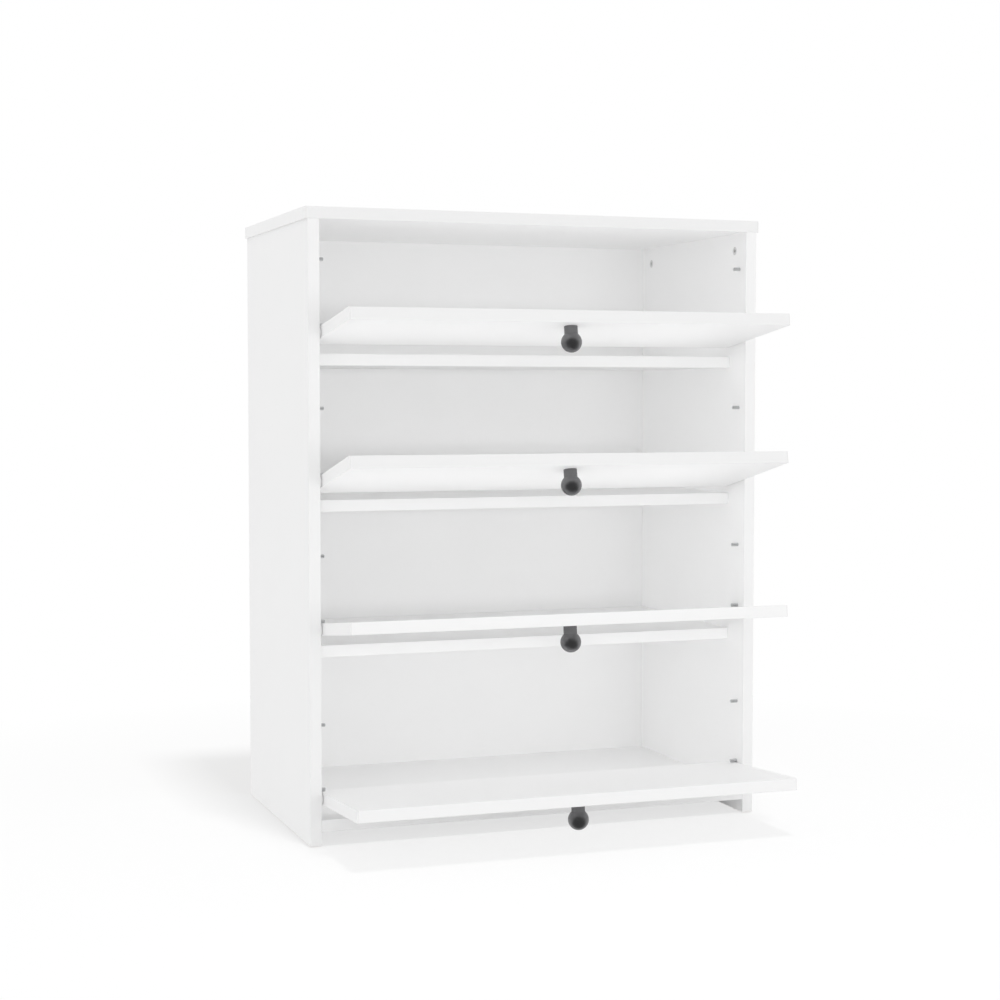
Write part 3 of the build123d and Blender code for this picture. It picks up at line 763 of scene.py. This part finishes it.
def soft_lamp(name, watts, falls_on, place, target, size, spread=180, passes=()):
    """A soft rectangular lamp that the camera doesn't see. It falls only on the pieces in falls_on, and
    those in passes throw no shadow in its light."""
    data = bpy.data.lights.new(name, "AREA")
    data.shape = "RECTANGLE"
    data.size, data.size_y = size
    data.energy = watts
    data.spread = radians(spread)
    lamp = bpy.data.objects.new(name, data)
    lamp.location = place
    lamp.rotation_euler = (Vector(target) - Vector(place)).to_track_quat("-Z", "Y").to_euler()
    lamp.visible_camera = False
    bpy.context.scene.collection.objects.link(lamp)
    lamp.light_linking.receiver_collection = bpy.data.collections.new(name + "_falls_on")
    for piece in falls_on:
        lamp.light_linking.receiver_collection.objects.link(piece)
    if passes:
        lamp.light_linking.blocker_collection = bpy.data.collections.new(name + "_passes")
        for piece in passes:
            lamp.light_linking.blocker_collection.objects.link(piece)
        for link in lamp.light_linking.blocker_collection.collection_objects:
            link.light_linking.link_state = "EXCLUDE"


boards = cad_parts
edged = ("left_side_panel", "right_side_panel", "lower_flap", "bottom_flap", "bottom_panel")
upper_edged = ("top_panel", "top_flap", "upper_flap")
knobs = [bpy.data.objects[flap + piece] for flap in FLAPS for piece in ("_ball_knob", "_threaded_stud")]
flaps = [boards[flap + "_flap"] for flap in FLAPS] + knobs

soft_lamp("overhead", 130, [floor], **OVERHEAD)
soft_lamp("carcass_shadow", 191, [floor], passes=flaps, **OVERHEAD)
for side, x, watts in (("left", -0.2, 0.66), ("right", 0.6, 0.47)):
    soft_lamp("back_fill_" + side, watts, [boards["back_panel"]], place=(x, -3.2, 0.6),
              target=(0, 0.26, 0.43), size=(1.2, 0.25), spread=40)
soft_lamp("edge_fill", 10.8, [boards[node] for node in edged], **FRONT_RIGHT)
soft_lamp("upper_edge_fill", 5.8, [boards[node] for node in upper_edged], **FRONT_RIGHT)
soft_lamp("shelf_fill", 16.3, [boards["upper_shelf"], boards["middle_shelf"]], **FRONT_LEFT)
soft_lamp("lower_shelf_fill", 24.2, [boards["lower_shelf"]], **FRONT_LEFT)
soft_lamp("side_fill", 2.2, [boards["right_side_panel"], boards["top_cam_locks"]],
          place=(-0.29, -0.02, 0.45), target=(0.3, -0.02, 0.45), size=(0.25, 0.66))
soft_lamp("ceiling_fill", 0.076, [boards["top_panel"]],
          place=(0, 0.08, 0.66), target=(0, 0.08, 0.8), size=(0.6, 0.33))
soft_lamp("ceiling_front_fill", 0.045, [boards["top_panel"]],
          place=(0, -0.075, 0.726), target=(0, -0.075, 1), size=(0.6, 0.05))
soft_lamp("mouth_fill", 0.135, [boards["bottom_flap"], boards["bottom_panel"]],
          place=(0, 0, 0.24), target=(0, 0, 0), size=(0.6, 0.18))
for flap, height, watts in (("top", 0.56, 0.094), ("upper", 0.36, 0.093)):
    soft_lamp(flap + "_flap_fill", watts, [boards[flap + "_flap"]], place=(-0.05, -0.16, height),
              target=(-0.05, -0.16, 1), size=(0.6, 0.21), spread=90, passes=knobs)
bpy.context.scene.cycles.diffuse_bounces = DIFFUSE_BOUNCES
bpy.context.scene.cycles.max_bounces = ALL_BOUNCES


# Camera: where the photograph was taken from, solved from the straight edges of the carcass.
# It looks slightly down on the cabinet's left front, on a long lens.
CAMERA_PLACE = (-0.94923, -2.56761, 0.59714)
CAMERA_YAW = radians(19.8094)
CAMERA_PITCH = radians(-3.0947)
CAMERA_ROLL = radians(0.0224)
LENS = 69.97
SENSOR = 36
FAR_CLIP = 100
camera = bpy.data.objects.new("camera", bpy.data.cameras.new("camera"))
camera.data.sensor_width = SENSOR
camera.data.lens = LENS
camera.data.clip_end = FAR_CLIP
level_ahead = Vector((sin(CAMERA_YAW), cos(CAMERA_YAW), 0))
ahead = cos(CAMERA_PITCH) * level_ahead + sin(CAMERA_PITCH) * Vector((0, 0, 1))
level_right = Vector((cos(CAMERA_YAW), -sin(CAMERA_YAW), 0))
level_up = level_right.cross(ahead)
right = cos(CAMERA_ROLL) * level_right + sin(CAMERA_ROLL) * level_up
up = cos(CAMERA_ROLL) * level_up - sin(CAMERA_ROLL) * level_right
camera.matrix_world = Matrix.Translation(CAMERA_PLACE) @ Matrix((right, up, -ahead)).transposed().to_4x4()
bpy.context.scene.collection.objects.link(camera)
bpy.context.scene.camera = camera
bpy.context.scene.view_settings.view_transform = "Standard"
